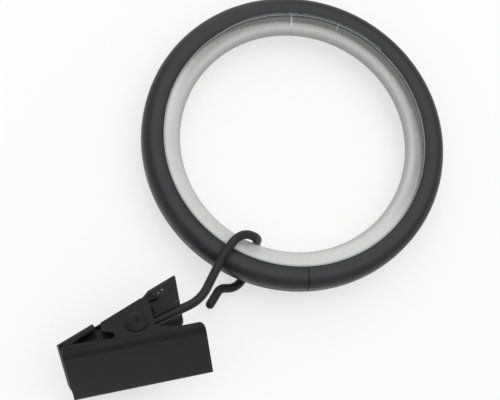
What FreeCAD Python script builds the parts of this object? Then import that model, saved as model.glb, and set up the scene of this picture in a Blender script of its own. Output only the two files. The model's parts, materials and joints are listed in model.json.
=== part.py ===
import FreeCAD, Part
import math
import os

os.makedirs("parts", exist_ok=True)
Vec = FreeCAD.Vector

# Driving dimensions in millimetres and degrees

# Ring channel and liner
ring_outer_radius = 25.4
ring_half_height = 2.5
ring_crown_depth = 1.9
ring_lip_depth = 3.4
ring_lip_round = 3.4
ring_sheet = 0.7
ring_seam_angle = -58.6
ring_seam_gap = 0.14
liner_root_depth = 1.2
liner_root_clear = 0.05
liner_lip_clear = 0.06
liner_edge_width = 0.3
liner_edge_drop = 0.3
liner_crown_drop = 0.5
liner_crown_depth = 3.0
liner_knee_depth = 2.27
liner_knee_share = 0.62
liner_joint_angle = 118.3
liner_joint_gap = 0.14

# Rivet
pin_radius = 0.85
pin_running_fit = 0.05
rivet_head_clear = 0.06
rivet_head_radius = 1.85
rivet_head_height = 0.45
rivet_head_round = 0.4
rivet_dimple_radius = 0.6
rivet_dimple_lift = 0.2

# Wire hook: places count from the ring's outer edge and from the ring's middle line
wire_diameter = 1.75
eye_clear = 0.3
eye_offset = 2.0
eye_open_angle = 350.0
leg_length = 11.5
leg_rise = 7.0
leg_bend = 6.5
over_clear = 0.4
over_place = -1.85
over_inset = 0.8
over_lift = 0.1
over_bend = 3.0
crest_place = -0.87
crest_outset = 0.43
crest_drop = 0.15
crest_bend = 3.0
inside_clear = 0.35
inside_place = 2.2
inside_height = 0.3
inside_bend = 2.5
under_clear = 0.4
under_place = 2.5
under_bend = 2.2
back_place = 3.4
back_reach = 0.3
back_bend = 1.5
tail_place = 0.6
tail_reach = 2.17
tail_lift = 1.3
tail_bend = 1.8
tail_end_place = 0.42
tail_end_reach = 5.5
tail_end_lift = 2.0

# Jaws: lengths count from the tip along the jaw's back, heights from the back
jaw_width = 12.5
jaw_sheet = 0.6
jaw_bend_radius = 1.5
jaw_slope = 12.4
jaw_tip_corner = 0.5
jaw_handle_corner = 1.0
tip_reach = 12.4
tip_line = 0.95
front_tip_height = 2.1
rear_tip_height = 1.1
lip_gap = 0.12
lip_side_inset = 1.0
front_length = 22.0
front_wall_height = 1.5
front_rim_height = 1.35
front_rim_start = 18.2
front_ear_back = 2.75
front_ear_lean = 0.45
front_ear_ahead = 3.6
front_ear_top_back = 4.85
front_arm_ahead = 5.45
front_arm_top = 1.15
front_arm_low = 0.5
front_arm_root = 1.2
front_ear_foot = 2.3
front_ear_corner = 0.7
front_ear_round = 1.0
front_arm_round = 0.3
front_notch_round = 0.45
front_rim_round = 0.8
front_rim_sweep = 2.0
rear_length = 21.5
rear_waist_start = 6.2
rear_waist_end = 16.5
rear_flare = 1.2
rear_tip_rim = 1.6
rear_handle_rim = 3.0
rear_handle_end_rim = 0.75
rear_rim_round = 0.6
rear_ear_radius = 1.95
rear_ear_foot = 1.5
rear_ear_foot_height = 1.3
ear_side_gap = 0.35

# Torsion spring
spring_wire = 0.7
spring_pin_clear = 0.35
spring_eye_clear = 0.35
spring_turns = 4
spring_points_per_turn = 8
spring_pitch = 0.85
spring_rear_rise = 33.0
spring_front_rise = 24.0
spring_leg_reach = 6.0

# Where the clip hangs
pivot_place = -5.98
pivot_reach = 17.82
pivot_height = 3.4
clip_heading = 49.75
clip_pitch = 1.9
clip_roll = -28.5


# Helpers for outlines and solids
def rounded_wire(points, radii, closed):
    """Straight runs joined by tangent arcs; one radius for each corner, zero keeps it sharp."""
    count = len(points)
    edges = []
    first = None
    last = None
    for index in range(count):
        here = points[index]
        start = here
        stop = here
        middle = None
        if radii[index] > 0.0:
            back = (points[index - 1] - here).normalize()
            ahead = (points[(index + 1) % count] - here).normalize()
            half = back.getAngle(ahead) / 2.0
            reach = radii[index] / math.tan(half)
            start = here + back * reach
            stop = here + ahead * reach
            inward = (back + ahead).normalize()
            middle = here + inward * (radii[index] / math.sin(half) - radii[index])
        if last is not None and last.distanceToPoint(start) > 1e-6:
            edges.append(Part.makeLine(last, start))
        if middle is not None:
            edges.append(Part.Arc(start, middle, stop).toShape())
        if first is None:
            first = start
        last = stop
    if closed and last.distanceToPoint(first) > 1e-6:
        edges.append(Part.makeLine(last, first))
    return Part.Wire(edges)


def swept_rod(path, diameter):
    first_edge = path.Edges[0]
    start = first_edge.valueAt(first_edge.FirstParameter)
    along = first_edge.tangentAt(first_edge.FirstParameter)
    pipe = Part.BRepOffsetAPI.MakePipeShell(path)
    pipe.setFrenetMode(False)
    pipe.add(Part.Wire(Part.makeCircle(diameter / 2.0, start, along)), False, False)
    pipe.build()
    pipe.makeSolid()
    return Part.Solid(pipe.shape())


def side_prism(points, radii):
    """A plate across the jaw's width from an outline of length and height."""
    outline = [Vec(along, height, -jaw_width) for along, height in points]
    face = Part.Face(rounded_wire(outline, radii, True))
    return face.extrude(Vec(0, 0, 2.0 * jaw_width))


def plan_prism(points, radii):
    """A block through the jaw's height from an outline of length and width."""
    outline = [Vec(along, -jaw_sheet, across) for along, across in points]
    face = Part.Face(rounded_wire(outline, radii, True))
    return face.extrude(Vec(0, 2.0 * jaw_width, 0))


def bent_channel(start, length, width, height):
    """A sheet channel with rounded bends, its back on height zero."""
    half = width / 2.0
    inner_bend = jaw_bend_radius - jaw_sheet
    outline = [
        Vec(start, height, -half),
        Vec(start, 0, -half),
        Vec(start, 0, half),
        Vec(start, height, half),
        Vec(start, height, half - jaw_sheet),
        Vec(start, jaw_sheet, half - jaw_sheet),
        Vec(start, jaw_sheet, -half + jaw_sheet),
        Vec(start, height, -half + jaw_sheet),
    ]
    bends = [0, jaw_bend_radius, jaw_bend_radius, 0, 0, inner_bend, inner_bend, 0]
    face = Part.Face(rounded_wire(outline, bends, True))
    return face.extrude(Vec(length, 0, 0))


def single_solid(shape):
    return shape.removeSplitter().Solids[0]


# Ring: an outer channel rolled to a half round, and a smooth liner held between its lips
ring_lip_radius = ring_outer_radius - ring_lip_depth
ring_crown_radius = ring_outer_radius - ring_crown_depth


def lip_end_height(inset):
    """Height of the channel's surface at the lip's end, this far below the outside."""
    round_centre = ring_half_height - ring_lip_round
    across = ring_crown_radius - ring_lip_radius
    return round_centre + math.sqrt((ring_lip_round - inset) ** 2 - across ** 2)


def channel_side(inset, side):
    """One flank of the section: a round from the lip up to the crown, and a tighter one to the outer wall."""
    crown_height = ring_half_height - inset
    wall_radius = ring_outer_radius - inset
    wall_height = ring_half_height - ring_crown_depth
    corner = ring_crown_depth - inset
    lip_across = (ring_crown_radius - ring_lip_radius) / 2.0
    lip_middle = ring_half_height - ring_lip_round + math.sqrt((ring_lip_round - inset) ** 2 - lip_across ** 2)
    diagonal = corner * math.sqrt(0.5)
    lip_end = Vec(ring_lip_radius, 0, side * lip_end_height(inset))
    crown = Vec(ring_crown_radius, 0, side * crown_height)
    wall_end = Vec(wall_radius, 0, side * wall_height)
    lip_arc = Part.Arc(lip_end, Vec(ring_crown_radius - lip_across, 0, side * lip_middle), crown)
    corner_middle = Vec(ring_crown_radius + diagonal, 0, side * (wall_height + diagonal))
    corner_arc = Part.Arc(crown, corner_middle, wall_end)
    return [lip_arc.toShape(), corner_arc.toShape(), Part.makeLine(wall_end, Vec(wall_radius, 0, 0))]


def turned_ring(edges, cut_angle, gap):
    """A section turned about the ring's axis, with a narrow slot where its ends meet."""
    section = Part.Face(Part.Wire(Part.__sortEdges__(edges)))
    ring = section.revolve(Vec(0, 0, 0), Vec(0, 0, 1), 360)
    slot_corner = Vec(0, -gap / 2.0, -2.0 * ring_half_height)
    slot = Part.makeBox(2.0 * ring_outer_radius, gap, 4.0 * ring_half_height, slot_corner)
    slot.rotate(Vec(0, 0, 0), Vec(0, 0, 1), cut_angle)
    return single_solid(ring.cut(slot))


channel_edges = []
for side in (1, -1):
    channel_edges += channel_side(0, side)
    channel_edges += channel_side(ring_sheet, side)
    outer_lip = Vec(ring_lip_radius, 0, side * lip_end_height(0))
    channel_edges.append(Part.makeLine(outer_lip, Vec(ring_lip_radius, 0, side * lip_end_height(ring_sheet))))
channel = turned_ring(channel_edges, ring_seam_angle, ring_seam_gap)
channel.exportStep("parts/ring_channel.step")

liner_inner_radius = ring_lip_radius - liner_crown_depth
liner_root_radius = ring_lip_radius + liner_root_depth
root_height = lip_end_height(ring_sheet) - liner_root_clear
liner_lip_radius = ring_lip_radius - liner_lip_clear
crown_start = ring_lip_radius - liner_edge_width
knee_radius = ring_lip_radius - liner_knee_depth
edge_height = ring_half_height - liner_edge_drop
crown_height = ring_half_height - liner_crown_drop
knee_height = liner_knee_share * crown_height
liner_middle = Vec(liner_inner_radius, 0, 0)
liner_edges = [Part.makeLine(Vec(liner_root_radius, 0, -root_height), Vec(liner_root_radius, 0, root_height))]
for side in (1, -1):
    steps = [
        Vec(liner_root_radius, 0, side * root_height),
        Vec(liner_lip_radius, 0, side * root_height),
        Vec(liner_lip_radius, 0, side * edge_height),
        Vec(crown_start, 0, side * edge_height),
        Vec(crown_start, 0, side * crown_height),
    ]
    liner_edges += Part.makePolygon(steps).Edges
    liner_edges.append(Part.Arc(steps[-1], Vec(knee_radius, 0, side * knee_height), liner_middle).toShape())
liner = turned_ring(liner_edges, liner_joint_angle, liner_joint_gap)
liner.exportStep("parts/glide_liner.step")

# Clip frame: length from tip to handles, thickness from front to rear, width along the pin
clip_turn = FreeCAD.Rotation(Vec(0, 0, 1), clip_heading)
clip_turn = clip_turn.multiply(FreeCAD.Rotation(Vec(0, 1, 0), -clip_pitch))
clip_turn = clip_turn.multiply(FreeCAD.Rotation(Vec(1, 0, 0), clip_roll))
clip_frame = FreeCAD.Placement(Vec(pivot_place, -ring_outer_radius - pivot_reach, pivot_height), clip_turn)


def in_clip(length, thickness, width):
    return clip_frame.multVec(Vec(length, thickness, width))


# Wire hook: an eye on the pin, a bent leg, an open loop round the ring and a short tail
eye_radius = pin_radius + wire_diameter / 2.0 + eye_clear
eye_first = math.radians(eye_open_angle)
eye_last = math.radians(90.0 + leg_rise)


def off_eye(angle, reach):
    """A point on the eye's circle, moved along the wire as it leaves the eye."""
    along = eye_radius * math.cos(angle) + reach * math.sin(angle)
    rise = eye_radius * math.sin(angle) - reach * math.cos(angle)
    return in_clip(along, rise, eye_offset)


over_height = ring_half_height + over_clear + wire_diameter / 2.0
under_height = -ring_half_height - under_clear - wire_diameter / 2.0
inside_line = -liner_inner_radius + inside_clear + wire_diameter / 2.0
leg_corners = [
    off_eye(eye_last, 0),
    off_eye(eye_last, leg_length),
    Vec(over_place, -ring_outer_radius + over_inset, over_height + over_lift),
    Vec(crest_place, -liner_inner_radius - crest_outset, over_height - crest_drop),
    Vec(inside_place, inside_line, inside_height),
    Vec(under_place, inside_line, under_height),
    Vec(back_place, -ring_outer_radius - back_reach, under_height),
    Vec(tail_place, -ring_outer_radius - tail_reach, under_height + tail_lift),
    Vec(tail_end_place, -ring_outer_radius - tail_end_reach, under_height + tail_end_lift),
]
leg_bends = [0, leg_bend, over_bend, crest_bend, inside_bend, under_bend, back_bend, tail_bend, 0]
leg_path = rounded_wire(leg_corners, leg_bends, False)
eye_middle = (eye_first + eye_last) / 2.0
eye_arc = Part.Arc(off_eye(eye_first, 0), off_eye(eye_middle, 0), off_eye(eye_last, 0)).toShape()
hook = swept_rod(Part.Wire([eye_arc] + leg_path.Edges), wire_diameter)
hook = hook.fuse(Part.makeSphere(wire_diameter / 2.0, leg_corners[-1], leg_corners[-1] - leg_corners[-2]))
hook = single_solid(hook)
hook.exportStep("parts/wire_hook.step")

# Jaw frames: each jaw is drawn from its tip along its back
slope = math.radians(jaw_slope)
front_back = front_tip_height - tip_line
rear_back = rear_tip_height + tip_line
front_turn = FreeCAD.Rotation(Vec(0, 0, 1), -jaw_slope)
rear_turn = FreeCAD.Rotation(Vec(0, 0, 1), jaw_slope).multiply(FreeCAD.Rotation(Vec(1, 0, 0), 180))
front_frame = FreeCAD.Placement(Vec(-tip_reach, -front_back, 0), front_turn)
rear_frame = FreeCAD.Placement(Vec(-tip_reach, rear_back, 0), rear_turn)
half_width = jaw_width / 2.0


def pin_in_jaw(back):
    """The pin's place along and above a jaw whose back lies this far from the pin's plane at the tip."""
    along = tip_reach * math.cos(slope) - back * math.sin(slope)
    above = tip_reach * math.sin(slope) + back * math.cos(slope)
    return along, above


def pin_hole(pin_place, radius):
    return Part.makeCylinder(radius, 2.0 * jaw_width, Vec(*pin_place, -jaw_width), Vec(0, 0, 1))


def lip_height(tip_height):
    return tip_height / math.cos(slope) - lip_gap / 2.0


def jaw_plan(length):
    points = [(0, -half_width), (length, -half_width), (length, half_width), (0, half_width)]
    return plan_prism(points, [jaw_tip_corner, jaw_handle_corner, jaw_handle_corner, jaw_tip_corner])


def tip_lip(height):
    """The sheet's end turned in across the tip, to grip the cloth."""
    side = half_width - lip_side_inset
    return Part.makeBox(jaw_sheet, height, 2.0 * side, Vec(0, 0, -side))


# Front jaw: a full-width channel with tall square ears outside the rear jaw
front_pin = pin_in_jaw(front_back)
front_lip = lip_height(front_tip_height)
front_side = [
    (0, -jaw_sheet),
    (front_length, -jaw_sheet),
    (front_length, front_rim_height),
    (front_rim_start, front_rim_height),
    (front_pin[0] + front_ear_back, front_ear_foot),
    (front_pin[0] + front_ear_back - front_ear_lean, front_pin[1] + front_ear_top_back),
    (front_pin[0] - front_arm_ahead, front_pin[1] + front_arm_top),
    (front_pin[0] - front_arm_ahead, front_pin[1] - front_arm_low),
    (front_pin[0] - front_ear_ahead, front_pin[1] - front_arm_root),
    (front_pin[0] - front_ear_ahead, front_wall_height),
    (0, front_lip),
]
front_rounds = [0, 0, front_rim_round, front_rim_sweep, front_ear_corner, front_ear_round, front_arm_round,
                front_arm_round, front_notch_round, front_notch_round, 0]
front = bent_channel(0, front_length, jaw_width, jaw_width)
front = front.common(side_prism(front_side, front_rounds))
front = front.common(jaw_plan(front_length))
front = front.fuse(tip_lip(front_lip))
front = front.cut(pin_hole(front_pin, pin_radius + pin_running_fit))
front = single_solid(front)
front.Placement = clip_frame.multiply(front_frame)
front.exportStep("parts/front_jaw.step")

# Rear jaw: wide at the tip and the handle, drawn in at the waist to pass inside the front ears
rear_pin = pin_in_jaw(rear_back)
rear_lip = lip_height(rear_tip_height)
waist_half = half_width - jaw_sheet - ear_side_gap
waist_length = rear_waist_end - rear_waist_start
tip_side = [
    (0, -jaw_sheet),
    (rear_waist_start, -jaw_sheet),
    (rear_waist_start, rear_tip_rim),
    (0, rear_lip),
]
handle_side = [
    (rear_waist_end, -jaw_sheet),
    (rear_length, -jaw_sheet),
    (rear_length, rear_handle_end_rim),
    (rear_waist_end, rear_handle_rim),
]
ear_side = [
    (rear_waist_start, -jaw_sheet),
    (rear_waist_end, -jaw_sheet),
    (rear_waist_end, jaw_sheet),
    (rear_waist_end - rear_ear_foot, jaw_sheet),
    (rear_pin[0] + rear_ear_radius, rear_pin[1] + rear_ear_radius),
    (rear_pin[0] - rear_ear_radius, rear_pin[1] + rear_ear_radius),
    (rear_waist_start + rear_ear_foot, rear_ear_foot_height),
    (rear_waist_start, jaw_sheet),
]
ear_rounds = [0, 0, 0, rear_ear_foot, rear_ear_radius, rear_ear_radius, rear_ear_foot, 0]
tip_channel = bent_channel(0, rear_waist_start, jaw_width, jaw_width)
tip_channel = tip_channel.common(side_prism(tip_side, [0, 0, rear_rim_round, 0]))
handle_channel = bent_channel(rear_waist_end, rear_length - rear_waist_end, jaw_width, jaw_width)
handle_channel = handle_channel.common(side_prism(handle_side, [0, 0, rear_rim_round, rear_rim_round]))
waist = bent_channel(rear_waist_start, waist_length, 2.0 * waist_half, jaw_width)
waist = waist.common(side_prism(ear_side, ear_rounds))
flat_half = half_width - jaw_bend_radius
flat_waist = waist_half - jaw_bend_radius
flare_points = [
    (rear_waist_start, -flat_half),
    (rear_waist_start + rear_flare, -flat_waist),
    (rear_waist_end - rear_flare, -flat_waist),
    (rear_waist_end, -flat_half),
    (rear_waist_end, flat_half),
    (rear_waist_end - rear_flare, flat_waist),
    (rear_waist_start + rear_flare, flat_waist),
    (rear_waist_start, flat_half),
]
back_sheet = Part.makeBox(rear_length, jaw_sheet, jaw_width, Vec(0, 0, -half_width))
flare = back_sheet.common(plan_prism(flare_points, [0] * len(flare_points)))
rear = tip_channel.fuse([handle_channel, waist, flare])
rear = rear.common(jaw_plan(rear_length))
rear = rear.fuse(tip_lip(rear_lip))
rear = rear.cut(pin_hole(rear_pin, pin_radius))
rear = single_solid(rear)
rear.Placement = clip_frame.multiply(rear_frame)
rear.exportStep("parts/rear_jaw.step")

# Pivot rivet: a pin through all four ears, with domed heads dimpled in the middle
head_seat = half_width + rivet_head_clear
head_top = head_seat + rivet_head_height
pin = Part.makeCylinder(pin_radius, 2.0 * head_seat, Vec(0, 0, -head_seat), Vec(0, 0, 1))
for side in (1, -1):
    along = Vec(0, 0, side)
    head = Part.makeCylinder(rivet_head_radius, rivet_head_height, along * head_seat, along)
    rim = [edge for edge in head.Edges if abs(edge.CenterOfMass.z - side * head_top) < 1e-6]
    head = head.makeFillet(rivet_head_round, rim)
    dimple = Part.makeSphere(rivet_dimple_radius, along * (head_top + rivet_dimple_lift))
    pin = pin.fuse(head.cut(dimple))
pin = single_solid(pin)
pin.Placement = clip_frame
pin.exportStep("parts/pivot_rivet.step")

# Torsion spring: a close coil beside the hook's eye, its legs spreading the handles
spring_radius = pin_radius + spring_wire / 2.0 + spring_pin_clear
coil_top = eye_offset - wire_diameter / 2.0 - spring_eye_clear - spring_wire / 2.0
coil_start = math.radians(90.0 + spring_rear_rise)
coil_end = 2.0 * math.pi * (spring_turns + 1) - math.radians(90.0 + spring_front_rise)
coil_steps = spring_points_per_turn * (spring_turns + 1)
leg_shares = (0.25, 0.5, 0.75, 1.0)


def on_coil(angle):
    height = coil_top - spring_pitch * (angle - coil_start) / (2.0 * math.pi)
    return Vec(spring_radius * math.cos(angle), spring_radius * math.sin(angle), height)


def off_coil(angle, reach):
    return on_coil(angle) + Vec(-math.sin(angle), math.cos(angle), 0) * reach


spring_points = [off_coil(coil_start, -spring_leg_reach * share) for share in reversed(leg_shares)]
for step in range(coil_steps + 1):
    spring_points.append(on_coil(coil_start + (coil_end - coil_start) * step / coil_steps))
spring_points += [off_coil(coil_end, spring_leg_reach * share) for share in leg_shares]
spring_curve = Part.BSplineCurve()
spring_curve.interpolate(spring_points)
spring = swept_rod(Part.Wire(spring_curve.toShape()), spring_wire)
spring.Placement = clip_frame
spring.exportStep("parts/torsion_spring.step")
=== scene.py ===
import cmath
import json
import math

import bmesh
import bpy
from mathutils import Matrix, Vector, noise


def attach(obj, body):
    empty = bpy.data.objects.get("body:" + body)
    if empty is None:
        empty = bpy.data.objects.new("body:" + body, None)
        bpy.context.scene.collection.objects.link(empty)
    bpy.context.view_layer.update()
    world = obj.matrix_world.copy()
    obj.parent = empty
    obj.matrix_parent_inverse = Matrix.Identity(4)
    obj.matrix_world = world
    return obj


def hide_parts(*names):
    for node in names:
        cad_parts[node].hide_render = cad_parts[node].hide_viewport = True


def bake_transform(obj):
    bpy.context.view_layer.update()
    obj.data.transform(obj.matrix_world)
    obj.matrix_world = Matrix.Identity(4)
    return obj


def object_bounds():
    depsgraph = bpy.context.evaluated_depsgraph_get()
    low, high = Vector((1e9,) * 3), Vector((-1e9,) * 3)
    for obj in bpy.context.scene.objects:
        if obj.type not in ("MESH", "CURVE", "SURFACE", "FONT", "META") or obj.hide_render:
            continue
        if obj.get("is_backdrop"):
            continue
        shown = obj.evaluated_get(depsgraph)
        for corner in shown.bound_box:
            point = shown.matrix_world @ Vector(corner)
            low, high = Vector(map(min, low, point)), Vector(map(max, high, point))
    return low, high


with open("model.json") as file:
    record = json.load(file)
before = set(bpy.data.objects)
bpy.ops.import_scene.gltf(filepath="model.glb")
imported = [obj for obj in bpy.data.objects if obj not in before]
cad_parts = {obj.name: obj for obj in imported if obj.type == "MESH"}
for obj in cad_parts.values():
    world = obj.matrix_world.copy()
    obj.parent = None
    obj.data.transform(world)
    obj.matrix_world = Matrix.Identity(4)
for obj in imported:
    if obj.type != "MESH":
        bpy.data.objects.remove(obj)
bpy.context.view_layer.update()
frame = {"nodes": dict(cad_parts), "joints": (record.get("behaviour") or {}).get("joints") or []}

# Sizes in millimetres and angles in degrees, the same as the solids have
MM = 0.001
RING_OUTER = 25.4
RING_HALF_HEIGHT = 2.5
RING_CROWN = 23.5
RING_LIP = 22.0
RING_LIP_ROUND = 3.4
RING_SHEET = 0.7
RING_SEAM_ANGLE = -58.6
LINER_INNER = 19.0
LINER_ROOT = 23.2
LINER_ROOT_CLEAR = 0.05
LINER_CLEAR = 0.06
LINER_EDGE_WIDTH = 0.3
LINER_EDGE_DROP = 0.3
LINER_CROWN_DROP = 0.5
LINER_KNEE_DEPTH = 2.27
LINER_KNEE_SHARE = 0.62
LINER_JOINT_ANGLE = 118.3
WIRE_DIAMETER = 1.75
WIRE_CLEAR = 0.4
WIRE_INSIDE_CLEAR = 0.35
PIN_RADIUS = 0.85
EYE_OFFSET = 2.0
EYE_OPEN_ANGLE = 350.0
LEG_LENGTH = 11.5
CLIP_HEADING = 49.75
CLIP_PITCH = 1.9
JAW_WIDTH = 12.5
JAW_SHEET = 0.6
JAW_SLOPE = 12.4
JAW_BEND = 1.5
TIP_REACH = 12.4
REAR_BACK = 2.05
WAIST_HALF = 5.3
HEAD_RADIUS = 1.85
HEAD_HEIGHT = 0.45
HEAD_CLEAR = 0.06
HEAD_SEAT = JAW_WIDTH / 2.0 + HEAD_CLEAR
SPRING_WIRE = 0.7
SPRING_RADIUS = 1.55
SPRING_PITCH = 0.85
SPRING_TURNS = 4
SPRING_EYE_CLEAR = 0.35
SPRING_REAR_RISE = 33.0
SPRING_FRONT_RISE = 24.0
SPRING_LEG_REACH = 6.0

# The ring's seam and broken lip, and the liner's joint and edge, as they are drawn
RING_SEAM_GAP_ANGLE = 0.32
LIP_BREAK = 0.1
LIP_BREAK_SHARE = 0.3
LINER_JOINT_GAP_ANGLE = 0.1
LINER_EDGE_BREAK = 0.06

# The liner's thin flash over the lip; a wave is its steps per degree, its row in the noise and its depth
FLASH_FIRST = 74.3
FLASH_LAST = 150.0
FLASH_FIRST_FADE = 0.8
FLASH_LAST_FADE = 14.0
FLASH_REACH = 0.2
FLASH_LEAST = 0.04
FLASH_SHEET = 0.05
FLASH_CLEAR = 0.06
FLASH_WAVES = [(0.45, 0.0, 0.09), (1.9, 5.0, 0.05)]

# The hook's wire, drawn thinner than its solid and with easier bends, as the photograph shows it
WIRE_DRAWN = 1.45
EYE_CLEAR = 0.15
EYE_RADIUS = PIN_RADIUS + WIRE_DRAWN / 2.0 + EYE_CLEAR
LEG_RISE = 5.0
LEG_BEND = 6.5
OVER_PLACE = -1.45
OVER_INSET = 0.8
OVER_LIFT = 0.1
OVER_BEND = 3.0
CREST_PLACE = -0.87
CREST_OUTSET = 0.43
CREST_DROP = 0.15
CREST_BEND = 4.2
INSIDE_PLACE = 2.2
INSIDE_HEIGHT = 0.3
INSIDE_BEND = 4.6
UNDER_PLACE = 2.5
UNDER_BEND = 2.2
BACK_PLACE = 3.4
BACK_REACH = 0.3
BACK_BEND = 3.5
TAIL_PLACE = 0.6
TAIL_REACH = 2.17
TAIL_LIFT = 1.3
TAIL_BEND = 1.8
TAIL_END_PLACE = 0.42
TAIL_END_REACH = 5.5
TAIL_END_LIFT = 2.0

# Small forms of the clip; outlines on the rear jaw are length from its tip and height off its back
SHOULDER_FIRST = 14.7
SHOULDER_LAST = 16.9
SHOULDER_LOW_WALL = 0.15
SHOULDER_WALL = 1.3
SHOULDER_SINK = 0.02
WEB_OUTSIDE = 4.7
WEB_OUTLINE = [(1.0, 0.3), (9.0, 0.3), (9.0, 5.0), (8.6, 4.9), (1.0, 2.3)]
CHEEK_SINK = 0.05
CHEEK_OUTSIDE = JAW_WIDTH / 2.0 - CHEEK_SINK
CHEEK_OUTLINE = [
    (0.62, 1.0), (6.1, 1.1), (6.1, 1.62), (5.76, 1.7),
    (3.3, 1.72), (1.63, 1.88), (1.08, 1.58), (0.62, 1.3),
]
EDGE_BREAK = 0.09
EDGE_BREAK_ANGLE = 40.0
FLAT_ANGLE = 1.0

# The rivet head's dimple and its rounded edge: radius, and depth below the head's top
HEAD_DIMPLE = [(0.0, 0.3), (0.25, 0.27), (0.42, 0.12), (0.5, 0.02), (0.6, 0.0)]
HEAD_ROUND = [(1.0, 0.0), (1.4, 0.16), (HEAD_RADIUS, 0.33)]

# Fineness of the meshes: steps along a sweep or bend, and sides round a section
RING_STEPS = 256
FLANK_STEPS = 12
CORNER_STEPS = 14
LINER_STEPS = 720
KNEE_STEPS = 16
EYE_STEPS = 26
BEND_STEPS = 12
WIRE_SIDES = 24
SHOULDER_STEPS = 14
SHOULDER_TURNS = 8
HEAD_STEPS = 8
RIVET_SIDES = 48
SPRING_STEPS = 36
SPRING_SIDES = 14
DOME_ANGLES = (15.0, 30.0, 45.0, 60.0, 75.0)

# Angles above which two faces meet in a crease
CREASE = 35.0
SHEET_CREASE = 25.0
RIVET_CREASE = 40.0

# Metres within which two points count as one
SAME_POINT = 1e-8
SAME_CORNER = 1e-7

# The photograph's camera, fitted to the ring's outlines
CAMERA_TILT = math.radians(18.6)
CAMERA_LEAN = math.radians(-61.9)
CAMERA_DISTANCE = 250.0
CAMERA_ASIDE = (7.27, -9.71)
CAMERA_FOCUS_PX = 1502.0
CAMERA_NEAR = 10.0
PHOTO_WIDTH_PX = 500.0
SENSOR_WIDTH = 36.0

# Clip frame: length, thickness and width axes at the pin
hinge = next(joint for joint in frame["joints"] if joint["name"] == "jaw_open")
pivot = Vector(hinge["pos_m"]) / MM
width_axis = Vector(hinge["axis"]).normalized()
heading = math.radians(CLIP_HEADING)
pitch = math.radians(CLIP_PITCH)
level = math.cos(pitch)
length_axis = Vector((math.cos(heading) * level, math.sin(heading) * level, math.sin(pitch)))
thick_axis = width_axis.cross(length_axis)


def in_clip(length, thickness, width):
    """A point of the clip, measured from the middle of the pin."""
    return pivot + length_axis * length + thick_axis * thickness + width_axis * width


def on_rear(along, height, width):
    """A point of the rear jaw: length from its tip, height off its back, place across its width."""
    slope = math.radians(JAW_SLOPE)
    length = -TIP_REACH + along * math.cos(slope) + height * math.sin(slope)
    thickness = REAR_BACK + along * math.sin(slope) - height * math.cos(slope)
    return in_clip(length, thickness, width)


def on_ring(angle, radius, height):
    """A point given by its angle round the ring, its radius and its height."""
    return (radius * math.cos(math.radians(angle)), radius * math.sin(math.radians(angle)), height)


# Colour and node helpers
def linear(hex_colour):
    """An sRGB hex colour as linear values with full alpha."""
    values = []
    for start in (1, 3, 5):
        share = int(hex_colour[start:start + 2], 16) / 255.0
        values.append(share / 12.92 if share <= 0.04045 else ((share + 0.055) / 1.055) ** 2.4)
    return (*values, 1.0)


def add(tree, kind, settings=None, stops=(), **inputs):
    """One node with its settings and links; an input, named or numbered (i0), is a value or (node, output)."""
    node = tree.nodes.new(kind)
    for key, value in (settings or {}).items():
        setattr(node, key, value)
    for index, (place, colour) in enumerate(stops):
        node.color_ramp.elements[index].position = place
        node.color_ramp.elements[index].color = colour
    for key, value in inputs.items():
        numbered = key[0] == "i" and key[1:].isdigit()
        socket = node.inputs[int(key[1:])] if numbered else node.inputs[key.replace("_", " ")]
        if isinstance(value, tuple) and len(value) == 2 and hasattr(value[0], "outputs"):
            tree.links.new(value[0].outputs[value[1]], socket)
        else:
            socket.default_value = value
    return node


def new_material(name):
    """An empty node material and its tree."""
    material = bpy.data.materials.new(name)
    material.use_nodes = True
    tree = material.node_tree
    tree.nodes.clear()
    return material, tree


# The part of a noise that is used, and the share of a mark that is full before it fades
NOISE_LOW = 0.3
NOISE_HIGH = 0.7
MARK_CORE = 0.4


def mark(tree, place, centre, turn, size):
    """A soft-edged spot in a material, with centre and size in millimetres, turned about the ring's axis."""
    spot = add(tree, "ShaderNodeMapping", {"vector_type": "TEXTURE"}, Vector=(place, "Object"),
               Location=tuple(Vector(centre) * MM), Rotation=(0.0, 0.0, math.radians(turn)),
               Scale=tuple(Vector(size) * MM))
    away = add(tree, "ShaderNodeVectorMath", {"operation": "LENGTH"}, i0=(spot, "Vector"))
    return add(tree, "ShaderNodeMapRange", i0=(away, "Value"), i1=MARK_CORE, i2=1.0, i3=1.0, i4=0.0)


# Steel's coat: its own grain is too fine to show, so the grit is drawn coarser than it is
COAT_GRIT = 0.22
COAT_PATCH = 3.0
COAT_SPREAD = 0.05
COAT_RELIEF = 0.25

# Pale chips in the rear handle's coat: place and size
HANDLE_CHIPS = [
    (on_rear(17.34, 2.14, 6.25), 0.17),
    (on_rear(18.15, 2.0, 6.25), 0.2),
    (on_rear(20.83, 0.6, -0.21), 0.17),
    (on_rear(21.36, 0.6, -0.28), 0.16),
    (on_rear(21.45, 0.6, 0.9), 0.12),
    (on_rear(21.3, 0.6, 2.27), 0.11),
]


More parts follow.
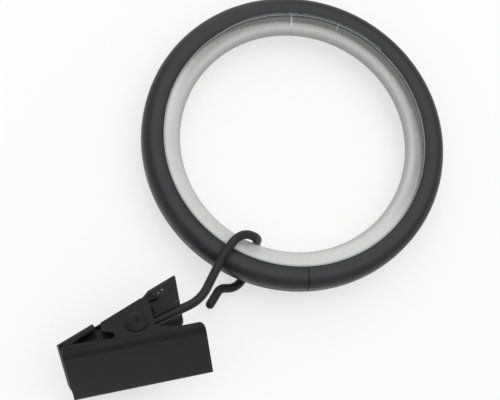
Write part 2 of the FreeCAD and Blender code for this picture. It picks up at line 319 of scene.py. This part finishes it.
def coated_steel(name, dark, light, roughness, gloss, grit_height, chips=()):
    """Steel with a baked satin coat: broad soft highlights, and a faint grain from the coat's flow."""
    material, tree = new_material(name)
    place = add(tree, "ShaderNodeTexCoord")
    patch = add(tree, "ShaderNodeTexNoise", Vector=(place, "Object"), Detail=3.0,
                Scale=1.0 / (COAT_PATCH * MM))
    grit = add(tree, "ShaderNodeTexNoise", Vector=(place, "Object"), Detail=2.0,
               Scale=1.0 / (COAT_GRIT * MM))
    tone = add(tree, "ShaderNodeValToRGB", Fac=(patch, "Fac"),
               stops=[(NOISE_LOW, linear(dark)), (NOISE_HIGH, linear(light))])
    sheen = add(tree, "ShaderNodeMapRange", i0=(patch, "Fac"), i1=NOISE_LOW, i2=NOISE_HIGH,
                i3=roughness - COAT_SPREAD, i4=roughness + COAT_SPREAD)
    bump = add(tree, "ShaderNodeBump", Strength=COAT_RELIEF, Distance=grit_height * MM, Height=(grit, "Fac"))
    colour = (tone, "Color")
    for centre, size in chips:
        chip = mark(tree, place, centre, 0.0, (size, size, size))
        bared = add(tree, "ShaderNodeMix", {"data_type": "RGBA"}, i0=(chip, "Result"), i6=colour,
                    i7=linear("#8e8e8c"))
        colour = (bared, 2)
    shader = add(tree, "ShaderNodeBsdfPrincipled", Base_Color=colour, Roughness=(sheen, "Result"),
                 Normal=(bump, "Normal"), IOR=1.5, Specular_IOR_Level=gloss)
    add(tree, "ShaderNodeOutputMaterial", Surface=(shader, "BSDF"))
    return material


# The liner's clear side, in shares of the lip's radius, and the widths of the painted shade along its inner
# edge and the painted shadow along its outer edge
CLEAR_SIDE_ANGLE = 85.0
CLEAR_SIDE_FIRST = -0.25
CLEAR_SIDE_LAST = 0.35
CLEAR_EDGE = 2.2
CLEAR_MOST = 0.84
INNER_SHADE_WIDTH = 0.8
LIP_SHADOW_WIDTH = 0.45
LIP_SHADOW_FULL = 0.1
NYLON_CLOUD = 6.0
NYLON_SCUFF = 0.8
NYLON_SMOOTHEST = 0.26
NYLON_ROUGHEST = 0.32
WHITENED_HAZE = 0.4

# The liner's joint, crease and rubbed place: angle, radius and height, then the mark's three sizes
LINER_MARKS = [
    ((LINER_JOINT_ANGLE, 21.0, 1.6), (1.7, 0.16, 2.0)),
    ((96.8, 21.5, 1.8), (0.8, 0.1, 1.0)),
    ((-84.5, 20.4, 1.6), (1.6, 2.2, 1.6)),
]


def extruded_nylon():
    """Natural nylon drawn through a die: milky where it is thick, clear in the edge that stands free."""
    material, tree = new_material("extruded_natural_nylon")
    place = add(tree, "ShaderNodeTexCoord")
    cloud = add(tree, "ShaderNodeTexNoise", Vector=(place, "Object"), Detail=2.0,
                Scale=1.0 / (NYLON_CLOUD * MM))
    scuff = add(tree, "ShaderNodeTexNoise", Vector=(place, "Object"), Detail=2.0,
                Scale=1.0 / (NYLON_SCUFF * MM))
    flat = add(tree, "ShaderNodeVectorMath", {"operation": "MULTIPLY"}, i0=(place, "Object"),
               i1=(1.0, 1.0, 0.0))
    radius = add(tree, "ShaderNodeVectorMath", {"operation": "LENGTH"}, i0=(flat, "Vector"))

    # Clear where the strip thins towards the lip, mostly on the far half of the ring; the near half stays
    # milky
    thin = add(tree, "ShaderNodeMapRange", {"interpolation_type": "SMOOTHSTEP"}, i0=(radius, "Value"),
               i1=(RING_LIP - CLEAR_EDGE) * MM, i2=(RING_LIP - CLEAR_EDGE / 2.0) * MM)
    facing = add(tree, "ShaderNodeVectorMath", {"operation": "DOT_PRODUCT"}, i0=(place, "Object"),
                 i1=on_ring(CLEAR_SIDE_ANGLE, 1.0, 0.0))
    free = add(tree, "ShaderNodeMapRange", {"interpolation_type": "SMOOTHSTEP"}, i0=(facing, "Value"),
               i1=CLEAR_SIDE_FIRST * RING_LIP * MM, i2=CLEAR_SIDE_LAST * RING_LIP * MM)
    edge = add(tree, "ShaderNodeMath", {"operation": "MULTIPLY"}, i0=(thin, "Result"), i1=(free, "Result"))
    clear = add(tree, "ShaderNodeMapRange", i0=(edge, "Value"), i3=0.0, i4=CLEAR_MOST)

    # Milky tone, painted shade along the inner edge, the rubbed place and a painted shadow line along the lip
    tone = add(tree, "ShaderNodeValToRGB", Fac=(cloud, "Fac"),
               stops=[(NOISE_LOW, linear("#c8c8c5")), (NOISE_HIGH, linear("#ccccca"))])
    # Painted shade: the strip is drawn darker along its inner edge, where it curves down
    inner_shade = add(tree, "ShaderNodeMapRange", i0=(radius, "Value"), i1=LINER_INNER * MM,
                i2=(LINER_INNER + INNER_SHADE_WIDTH) * MM, i3=1.0, i4=0.0)
    with_inner_shade = add(tree, "ShaderNodeMix", {"data_type": "RGBA"}, i0=(inner_shade, "Result"), i6=(tone, "Color"),
               i7=linear("#9c9c9a"))
    joint, crease, rubbed = [mark(tree, place, on_ring(*spot), spot[0], size) for spot, size in LINER_MARKS]
    worn = add(tree, "ShaderNodeMix", {"data_type": "RGBA"}, i0=(rubbed, "Result"), i6=(with_inner_shade, 2),
               i7=linear("#b2b7b9"))
    # Painted shadow: a dark line along the strip's outer edge, where it dips under the channel's lip
    rim = add(tree, "ShaderNodeMapRange", i0=(radius, "Value"), i1=(RING_LIP - LIP_SHADOW_WIDTH) * MM,
              i2=(RING_LIP - LIP_SHADOW_FULL) * MM)
    with_lip_shadow = add(tree, "ShaderNodeMix", {"data_type": "RGBA"}, i0=(rim, "Result"), i6=(worn, 2),
                i7=linear("#8c8f92"))

    # Whitened where the strip is cut at its joint and where it was creased
    whitened = add(tree, "ShaderNodeMath", {"operation": "MAXIMUM"}, i0=(joint, "Result"),
                   i1=(crease, "Result"))
    colour = add(tree, "ShaderNodeMix", {"data_type": "RGBA"}, i0=(whitened, "Value"), i6=(with_lip_shadow, 2),
                 i7=linear("#fafafa"))
    hazed = add(tree, "ShaderNodeMath", {"operation": "MULTIPLY"}, i0=(whitened, "Value"), i1=WHITENED_HAZE)
    seen_through = add(tree, "ShaderNodeMath", {"operation": "SUBTRACT", "use_clamp": True},
                       i0=(clear, "Result"), i1=(hazed, "Value"))
    gloss = add(tree, "ShaderNodeMapRange", i0=(scuff, "Fac"), i1=NOISE_LOW, i2=NOISE_HIGH,
                i3=NYLON_SMOOTHEST, i4=NYLON_ROUGHEST)
    shader = add(tree, "ShaderNodeBsdfPrincipled", Base_Color=(colour, 2), Roughness=(gloss, "Result"),
                 IOR=1.53, Transmission_Weight=(seen_through, "Value"))
    add(tree, "ShaderNodeOutputMaterial", Surface=(shader, "BSDF"))
    return material


# The share of plain white in the floor where it is seen, mirrored or looked at through the liner
FLOOR_WHITE = 0.6


def white_paper():
    """White paper, matt and without gloss: a pale ground with a soft shadow, whiter where it is seen."""
    material, tree = new_material("white_paper_floor")
    shader = add(tree, "ShaderNodeBsdfPrincipled", Base_Color=linear("#fbfbfb"), Roughness=0.9,
                 Specular_IOR_Level=0.0)
    white = add(tree, "ShaderNodeEmission", Color=linear("#ffffff"), Strength=1.0)
    rays = add(tree, "ShaderNodeLightPath")
    direct = add(tree, "ShaderNodeMath", {"operation": "MAXIMUM"}, i0=(rays, "Is Camera Ray"),
                 i1=(rays, "Is Glossy Ray"))
    seen = add(tree, "ShaderNodeMath", {"operation": "MAXIMUM"}, i0=(direct, "Value"),
               i1=(rays, "Is Transmission Ray"))
    share = add(tree, "ShaderNodeMath", {"operation": "MULTIPLY"}, i0=(seen, "Value"), i1=FLOOR_WHITE)
    surface = add(tree, "ShaderNodeMixShader", i0=(share, "Value"), i1=(shader, "BSDF"),
                  i2=(white, "Emission"))
    add(tree, "ShaderNodeOutputMaterial", Surface=(surface, "Shader"))
    return material


# Finishes: dark and light tone, roughness, gloss and the grit's height
ring_black = coated_steel("satin_powder_coated_steel", "#18181b", "#1d1d20", 0.43, 0.45, 0.02)
wire_black = coated_steel("satin_lacquered_wire", "#1a1a1b", "#1f1f20", 0.46, 0.3, 0.012)
clip_black = coated_steel("satin_lacquered_sheet_steel", "#171718", "#1c1c1d", 0.5, 0.2, 0.015, HANDLE_CHIPS)
spring_black = coated_steel("oiled_spring_steel", "#202022", "#2a2a2c", 0.35, 0.4, 0.01)
nylon = extruded_nylon()


# Mesh helpers
def finish_mesh(name, builder, body, replaced, material, crease=CREASE):
    """Turns a bmesh into a piece with smooth faces and sharp creases, carried by a body."""
    mesh = bpy.data.meshes.new(name)
    bmesh.ops.recalc_face_normals(builder, faces=builder.faces)
    builder.to_mesh(mesh)
    builder.free()
    piece = bpy.data.objects.new(name, mesh)
    bpy.context.scene.collection.objects.link(piece)
    mesh.polygons.foreach_set("use_smooth", [True] * len(mesh.polygons))
    mesh.set_sharp_from_angle(angle=math.radians(crease))
    mesh.materials.append(material)
    if body:
        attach(piece, body)
    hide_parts(replaced)
    return piece


def skin(builder, loops):
    """Joins each loop of points to the next, and closes the first and the last."""
    count = len(loops[0])
    for one, two in zip(loops, loops[1:]):
        for index in range(count):
            after = (index + 1) % count
            builder.faces.new((one[index], two[index], two[after], one[after]))
    builder.faces.new(loops[0])
    builder.faces.new(loops[-1][::-1])


def arc_through(first, middle, last, steps):
    """Points on the arc through three points, the ends included."""
    one, two, three = (complex(*point) for point in (first, middle, last))
    ratio = (three - one) / (two - one)
    centre = one + (two - one) * (ratio - abs(ratio) ** 2) / (ratio - ratio.conjugate())
    radius = abs(one - centre)
    start = cmath.phase(one - centre)
    swing = cmath.phase((two - centre) / (one - centre)) + cmath.phase((three - centre) / (two - centre))
    turns = [start + swing * step / steps for step in range(steps + 1)]
    return [(centre.real + radius * math.cos(turn), centre.imag + radius * math.sin(turn)) for turn in turns]


def revolve(outline, first, sweep, steps, shift=None):
    """A closed outline of (radius, height) turned about the ring's axis, with flat ends."""
    builder = bmesh.new()
    loops = []
    for step in range(steps + 1):
        angle = first + sweep * step / steps
        loop = []
        for index, (radius, height) in enumerate(outline):
            if shift:
                radius, height = shift(index, angle, radius, height)
            place = (radius * math.cos(angle) * MM, radius * math.sin(angle) * MM, height * MM)
            loop.append(builder.verts.new(place))
        loops.append(loop)
    skin(builder, loops)
    return builder


def dome(place, along, radius):
    """A domed wire end: places past the end, each with its share of the radius."""
    angles = [math.radians(angle) for angle in DOME_ANGLES]
    return [(place + along * radius * math.sin(angle), math.cos(angle)) for angle in angles]


def tube(points, radius, sides, rounded_start, rounded_end):
    """A round wire along points in millimetres, with a steady frame and domed or flat ends."""
    path = [Vector(point) for point in points]
    stations = [(point, 1.0) for point in path]
    if rounded_start:
        stations = dome(path[0], (path[0] - path[1]).normalized(), radius)[::-1] + stations
    if rounded_end:
        stations = stations + dome(path[-1], (path[-1] - path[-2]).normalized(), radius)
    builder = bmesh.new()
    loops = []
    side = None
    for index, (place, share) in enumerate(stations):
        before = stations[max(index - 1, 0)][0]
        after = stations[min(index + 1, len(stations) - 1)][0]
        along = (after - before).normalized()
        if side is None:
            side = along.orthogonal().normalized()
        side = (side - along * side.dot(along)).normalized()
        across = along.cross(side)
        loop = []
        for turn in range(sides):
            angle = 2.0 * math.pi * turn / sides
            offset = (side * math.cos(angle) + across * math.sin(angle)) * radius * share
            loop.append(builder.verts.new((place + offset) * MM))
        loops.append(loop)
    skin(builder, loops)
    return builder


def route(corners, bends):
    """Straight runs joined by tangent arcs, as points."""
    points = [Vector(corners[0])]
    for index in range(1, len(corners) - 1):
        here = Vector(corners[index])
        back = (Vector(corners[index - 1]) - here).normalized()
        ahead = (Vector(corners[index + 1]) - here).normalized()
        half = back.angle(ahead) / 2.0
        radius = bends[index]
        reach = radius / math.tan(half)
        centre = here + (back + ahead).normalized() * (radius / math.sin(half))
        start = here + back * reach - centre
        stop = here + ahead * reach - centre
        turn = start.angle(stop)
        for step in range(BEND_STEPS + 1):
            share = step / BEND_STEPS
            mixed = (start * math.sin((1.0 - share) * turn) + stop * math.sin(share * turn)) / math.sin(turn)
            points.append(centre + mixed)
    points.append(Vector(corners[-1]))
    return points


# Ring: rolled channel with a butt seam
def lip_height(inset, radius):
    """Height of the channel's flank between lip and crown, this far below the outside."""
    rise = math.sqrt((RING_LIP_ROUND - inset) ** 2 - (RING_CROWN - radius) ** 2)
    return RING_HALF_HEIGHT - RING_LIP_ROUND + rise


def channel_flank(inset, lip):
    """The section's upper flank from the lip's end over the crown to the outer wall."""
    corner = RING_OUTER - RING_CROWN - inset
    wall_height = RING_HALF_HEIGHT - (RING_OUTER - RING_CROWN)
    diagonal = corner * math.sqrt(0.5)
    middle = (lip + RING_CROWN) / 2.0
    crown = (RING_CROWN, RING_HALF_HEIGHT - inset)
    lip_end = (lip, lip_height(inset, lip))
    lip_middle = (middle, lip_height(inset, middle))
    corner_middle = (RING_CROWN + diagonal, wall_height + diagonal)
    wall = (RING_CROWN + corner, wall_height)
    flank = arc_through(lip_end, lip_middle, crown, FLANK_STEPS)
    return flank + arc_through(crown, corner_middle, wall, CORNER_STEPS)[1:]


def ring_band():
    """The channel's section, turned round from one side of the seam to the other."""
    outer = channel_flank(0.0, RING_LIP + LIP_BREAK)
    inner = channel_flank(RING_SHEET, RING_LIP)
    top = outer[0][1]
    lip_edge = [
        (RING_LIP, inner[0][1]),
        (RING_LIP, top - LIP_BREAK),
        (RING_LIP + LIP_BREAK_SHARE * LIP_BREAK, top - LIP_BREAK_SHARE * LIP_BREAK),
    ]
    upper = inner[:0:-1] + lip_edge + outer
    outline = upper + [(radius, -height) for radius, height in upper[::-1]]
    gap = math.radians(RING_SEAM_GAP_ANGLE)
    first = math.radians(RING_SEAM_ANGLE) + gap / 2.0
    builder = revolve(outline, first, 2.0 * math.pi - gap, RING_STEPS)
    return finish_mesh("ring_band", builder, "ring", "ring_channel", ring_black)


# Liner: a strip between the channel's lips, with a ragged flash over the upper one
def flash_reach(angle):
    """How far the liner's thin edge laps over the channel's lip on the far side, with a ragged rim."""
    turn = math.degrees(angle) % 360.0
    if not FLASH_FIRST < turn < FLASH_LAST:
        return 0.0
    fade = min(1.0, (FLASH_LAST - turn) / FLASH_LAST_FADE, (turn - FLASH_FIRST) / FLASH_FIRST_FADE)
    ragged = sum(noise.noise(Vector((turn * rate, row, 0.0))) * depth for rate, row, depth in FLASH_WAVES)
    return fade * max(FLASH_LEAST, FLASH_REACH + ragged)


def flash(index, angle, radius, height):
    """Draws points 2 to 5 of the liner's outline, at the lip, out into the flash."""
    reach = flash_reach(angle)
    if reach == 0.0 or not 2 <= index <= 5:
        return radius, height
    thickness = FLASH_SHEET if index >= 4 else 0.0
    if index in (2, 5):
        return radius, lip_height(0.0, RING_LIP) + FLASH_CLEAR + thickness
    rim = RING_LIP + reach
    return rim, lip_height(0.0, rim) + FLASH_CLEAR + thickness


def liner_strip():
    """The strip's section, turned round from one side of the joint to the other."""
    root = lip_height(RING_SHEET, RING_LIP) - LINER_ROOT_CLEAR
    lip = RING_LIP - LINER_CLEAR
    edge = RING_HALF_HEIGHT - LINER_EDGE_DROP
    start = RING_LIP - LINER_EDGE_WIDTH
    crown = RING_HALF_HEIGHT - LINER_CROWN_DROP
    knee = (RING_LIP - LINER_KNEE_DEPTH, LINER_KNEE_SHARE * crown)
    side = arc_through((start, crown), knee, (LINER_INNER, 0.0), KNEE_STEPS)
    edges = [(lip, edge)] * 3 + [(start + LINER_EDGE_BREAK, edge), (start, edge - LINER_EDGE_BREAK)]
    top = [(LINER_ROOT, root), (lip, root)] + edges + side[:-1]
    low = [(radius, -height) for radius, height in top[::-1]]
    outline = top + [(LINER_INNER, 0.0)] + low
    gap = math.radians(LINER_JOINT_GAP_ANGLE)
    first = math.radians(LINER_JOINT_ANGLE) + gap / 2.0
    builder = revolve(outline, first, 2.0 * math.pi - gap, LINER_STEPS, flash)
    bmesh.ops.remove_doubles(builder, verts=builder.verts, dist=SAME_POINT)
    return finish_mesh("liner_strip", builder, "ring", "glide_liner", nylon)


# Hook: one wire with an eye on the pin, a leg, a loop round the ring and a tail
def off_eye(angle, reach):
    """A point on the eye's circle, moved along the wire as it leaves the eye."""
    along = EYE_RADIUS * math.cos(angle) + reach * math.sin(angle)
    rise = EYE_RADIUS * math.sin(angle) - reach * math.cos(angle)
    return in_clip(along, rise, EYE_OFFSET)


def hook_points():
    """The wire's middle line, from the eye's open end to the tail."""
    over = RING_HALF_HEIGHT + WIRE_CLEAR + WIRE_DIAMETER / 2.0
    under = -over
    inside = -LINER_INNER + WIRE_INSIDE_CLEAR + WIRE_DIAMETER / 2.0
    eye_first = math.radians(EYE_OPEN_ANGLE)
    eye_last = math.radians(90.0 + LEG_RISE)
    corners = [
        off_eye(eye_last, 0),
        off_eye(eye_last, LEG_LENGTH),
        (OVER_PLACE, -RING_OUTER + OVER_INSET, over + OVER_LIFT),
        (CREST_PLACE, -LINER_INNER - CREST_OUTSET, over - CREST_DROP),
        (INSIDE_PLACE, inside, INSIDE_HEIGHT),
        (UNDER_PLACE, inside, under),
        (BACK_PLACE, -RING_OUTER - BACK_REACH, under),
        (TAIL_PLACE, -RING_OUTER - TAIL_REACH, under + TAIL_LIFT),
        (TAIL_END_PLACE, -RING_OUTER - TAIL_END_REACH, under + TAIL_END_LIFT),
    ]
    bends = [0, LEG_BEND, OVER_BEND, CREST_BEND, INSIDE_BEND, UNDER_BEND, BACK_BEND, TAIL_BEND, 0]
    swing = eye_last - eye_first
    eye = [off_eye(eye_first + swing * step / EYE_STEPS, 0) for step in range(EYE_STEPS)]
    return eye + route(corners, bends)


def hook_wire():
    """The wire along that line, cut flat in the eye and rounded at the tail."""
    builder = tube(hook_points(), WIRE_DRAWN / 2.0, WIRE_SIDES, False, True)
    return finish_mesh("hook_wire", builder, "hook", "wire_hook", wire_black)


# Clip: two bent-sheet jaws on a rivet, with a spring between them
def rear_plate(builder, outline, inner, outer):
    """A plate standing on the rear jaw, between two places across its width."""
    walls = []
    for width in (inner, outer):
        walls.append([builder.verts.new(on_rear(along, height, width) * MM) for along, height in outline])
    skin(builder, walls)


def rear_shoulder(builder, side):
    """The drawn shoulder where the rear jaw widens from its waist to the handle."""
    arc = [math.radians(90.0 * turn / SHOULDER_TURNS) for turn in range(SHOULDER_TURNS + 1)]
    bent = JAW_BEND - JAW_SHEET
    outside = [(JAW_BEND * math.sin(angle), JAW_BEND - JAW_BEND * math.cos(angle)) for angle in arc]
    inside = [(bent * math.sin(angle), JAW_BEND - bent * math.cos(angle)) for angle in arc[::-1]]
    loops = []
    for step in range(SHOULDER_STEPS + 1):
        share = step / SHOULDER_STEPS
        along = SHOULDER_FIRST + (SHOULDER_LAST - SHOULDER_FIRST) * share
        eased = share * share * (3.0 - 2.0 * share)
        half = WAIST_HALF + (JAW_WIDTH / 2.0 - WAIST_HALF) * eased - SHOULDER_SINK
        rise = JAW_BEND + SHOULDER_LOW_WALL + (SHOULDER_WALL - SHOULDER_LOW_WALL) * eased
        section = outside + [(JAW_BEND, rise), (bent, rise)] + inside
        loop = []
        for width, height in section:
            loop.append(builder.verts.new(on_rear(along, height, side * (half - JAW_BEND + width)) * MM))
        loops.append(loop)
    skin(builder, loops)


def jaw(node, body, inner_forms=False):
    """A jaw's sheet with its cut edges broken, and the rear jaw's webs, shoulders and cheeks."""
    builder = bmesh.new()
    builder.from_mesh(frame["nodes"][node].data)
    bmesh.ops.remove_doubles(builder, verts=builder.verts, dist=SAME_CORNER)
    flat = math.radians(FLAT_ANGLE)
    bmesh.ops.dissolve_limit(builder, angle_limit=flat, verts=builder.verts, edges=builder.edges)
    if inner_forms:
        for side in (1.0, -1.0):
            rear_plate(builder, WEB_OUTLINE, side * (WEB_OUTSIDE - JAW_SHEET), side * WEB_OUTSIDE)
            rear_shoulder(builder, side)
            rear_plate(builder, CHEEK_OUTLINE, side * (CHEEK_OUTSIDE - JAW_SHEET), side * CHEEK_OUTSIDE)
    piece = finish_mesh(node + "_sheet", builder, body, node, clip_black, SHEET_CREASE)
    bevel = piece.modifiers.new("broken_edges", "BEVEL")
    bevel.width = EDGE_BREAK * MM
    bevel.segments = 2
    bevel.limit_method = "ANGLE"
    bevel.angle_limit = math.radians(EDGE_BREAK_ANGLE)
    bevel.harden_normals = True
    return piece


def rivet():
    """The pin and its two dimpled heads, turned about the pin's axis."""
    top = HEAD_SEAT + HEAD_HEIGHT
    profile = [(radius, top - depth) for radius, depth in HEAD_DIMPLE]
    profile += arc_through(*[(radius, top - depth) for radius, depth in HEAD_ROUND], HEAD_STEPS)
    profile += [(HEAD_RADIUS, HEAD_SEAT), (PIN_RADIUS, HEAD_SEAT), (PIN_RADIUS, 0.0)]
    outline = profile + [(radius, -height) for radius, height in profile[:-1][::-1]]
    turns = [2.0 * math.pi * turn / RIVET_SIDES for turn in range(RIVET_SIDES)]
    builder = bmesh.new()
    loops = []
    for radius, height in outline:
        places = [in_clip(radius * math.cos(turn), radius * math.sin(turn), height) * MM for turn in turns]
        if radius == 0.0:
            places = places[:1]
        loops.append([builder.verts.new(place) for place in places])
    for one, two in zip(loops, loops[1:]):
        for turn in range(RIVET_SIDES):
            after = (turn + 1) % RIVET_SIDES
            first_edge = [one[turn % len(one)], two[turn % len(two)]]
            second_edge = [two[after % len(two)], one[after % len(one)]]
            builder.faces.new(list(dict.fromkeys(first_edge + second_edge)))
    return finish_mesh("rivet_pin", builder, "clip", "pivot_rivet", clip_black, RIVET_CREASE)


def spring_coil():
    """The coil on the pin, with a leg under each handle."""
    top = EYE_OFFSET - WIRE_DIAMETER / 2.0 - SPRING_EYE_CLEAR - SPRING_WIRE / 2.0
    first = math.radians(90.0 + SPRING_REAR_RISE)
    last = 2.0 * math.pi * (SPRING_TURNS + 1) - math.radians(90.0 + SPRING_FRONT_RISE)
    steps = SPRING_STEPS * (SPRING_TURNS + 1)
    points = []
    for step in range(steps + 1):
        angle = first + (last - first) * step / steps
        height = top - SPRING_PITCH * (angle - first) / (2.0 * math.pi)
        points.append((SPRING_RADIUS * math.cos(angle), SPRING_RADIUS * math.sin(angle), height))
    start = Vector(points[0]) + Vector((math.sin(first), -math.cos(first), 0)) * SPRING_LEG_REACH
    stop = Vector(points[-1]) + Vector((-math.sin(last), math.cos(last), 0)) * SPRING_LEG_REACH
    placed = [in_clip(*point) for point in [tuple(start)] + points + [tuple(stop)]]
    builder = tube(placed, SPRING_WIRE / 2.0, SPRING_SIDES, True, True)
    piece = finish_mesh("coil_spring", builder, None, "torsion_spring", spring_black)
    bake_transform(piece)
    return piece


ring_band()
liner_strip()
hook_wire()
jaw("rear_jaw", "clip", True)
jaw("front_jaw", "jaw")
rivet()
spring_coil()

# Stage: a pale floor, soft light from above and the photograph's camera; sizes and places in metres
FLOOR_HALF = 2.0
FLOOR_CORNERS = [(-1, -1), (1, -1), (1, 1), (-1, 1)]
ROOM_LIGHT = 0.6


def stage():
    """A sheet of paper under the object's lowest point."""
    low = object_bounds()[0][2]
    mesh = bpy.data.meshes.new("floor")
    corners = [(across * FLOOR_HALF, back * FLOOR_HALF, low) for across, back in FLOOR_CORNERS]
    mesh.from_pydata(corners, [], [(0, 1, 2, 3)])
    mesh.materials.append(white_paper())
    floor = bpy.data.objects.new("floor", mesh)
    bpy.context.scene.collection.objects.link(floor)
    floor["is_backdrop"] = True


def lamp(name, place, aim, size, power):
    """A square soft light at a place, turned towards its aim."""
    data = bpy.data.lights.new(name, "AREA")
    data.size = size
    data.energy = power
    lamp_object = bpy.data.objects.new(name, data)
    lamp_object.location = place
    lamp_object.rotation_euler = (Vector(aim) - Vector(place)).to_track_quat("-Z", "Y").to_euler()
    bpy.context.scene.collection.objects.link(lamp_object)


def light():
    """An even white room and two soft lights."""
    world = bpy.data.worlds.new("soft_room")
    world.use_nodes = True
    background = world.node_tree.nodes["Background"]
    background.inputs["Color"].default_value = linear("#ffffff")
    background.inputs["Strength"].default_value = ROOM_LIGHT
    bpy.context.scene.world = world
    lamp("overhead_softbox", place=(0.0, 0.16, 0.7), aim=(0.0, -0.01, 0.0), size=0.9, power=2.8)
    lamp("side_softbox", place=(-0.42, 0.52, 0.3), aim=(0.0, -0.02, 0.0), size=0.45, power=0.7)


def camera():
    """The fitted camera, placed by the directions to its right, down its picture and ahead."""
    right = Vector((-math.sin(CAMERA_LEAN), math.cos(CAMERA_TILT) * math.cos(CAMERA_LEAN),
                    math.sin(CAMERA_TILT) * math.cos(CAMERA_LEAN)))
    down = Vector((math.cos(CAMERA_LEAN), math.cos(CAMERA_TILT) * math.sin(CAMERA_LEAN),
                   math.sin(CAMERA_TILT) * math.sin(CAMERA_LEAN)))
    ahead = Vector((0.0, math.sin(CAMERA_TILT), -math.cos(CAMERA_TILT)))
    place = -(right * CAMERA_ASIDE[0] + down * CAMERA_ASIDE[1] + ahead * CAMERA_DISTANCE) * MM
    data = bpy.data.cameras.new("photo_camera")
    data.sensor_width = SENSOR_WIDTH
    data.lens = SENSOR_WIDTH * CAMERA_FOCUS_PX / PHOTO_WIDTH_PX
    data.clip_start = CAMERA_NEAR * MM
    view = bpy.data.objects.new("photo_camera", data)
    bpy.context.scene.collection.objects.link(view)
    turn = Matrix((right, -down, -ahead)).transposed()
    view.matrix_world = Matrix.Translation(place) @ turn.to_4x4()
    bpy.context.scene.camera = view


stage()
light()
camera()
bpy.context.scene.view_settings.view_transform = "Standard"
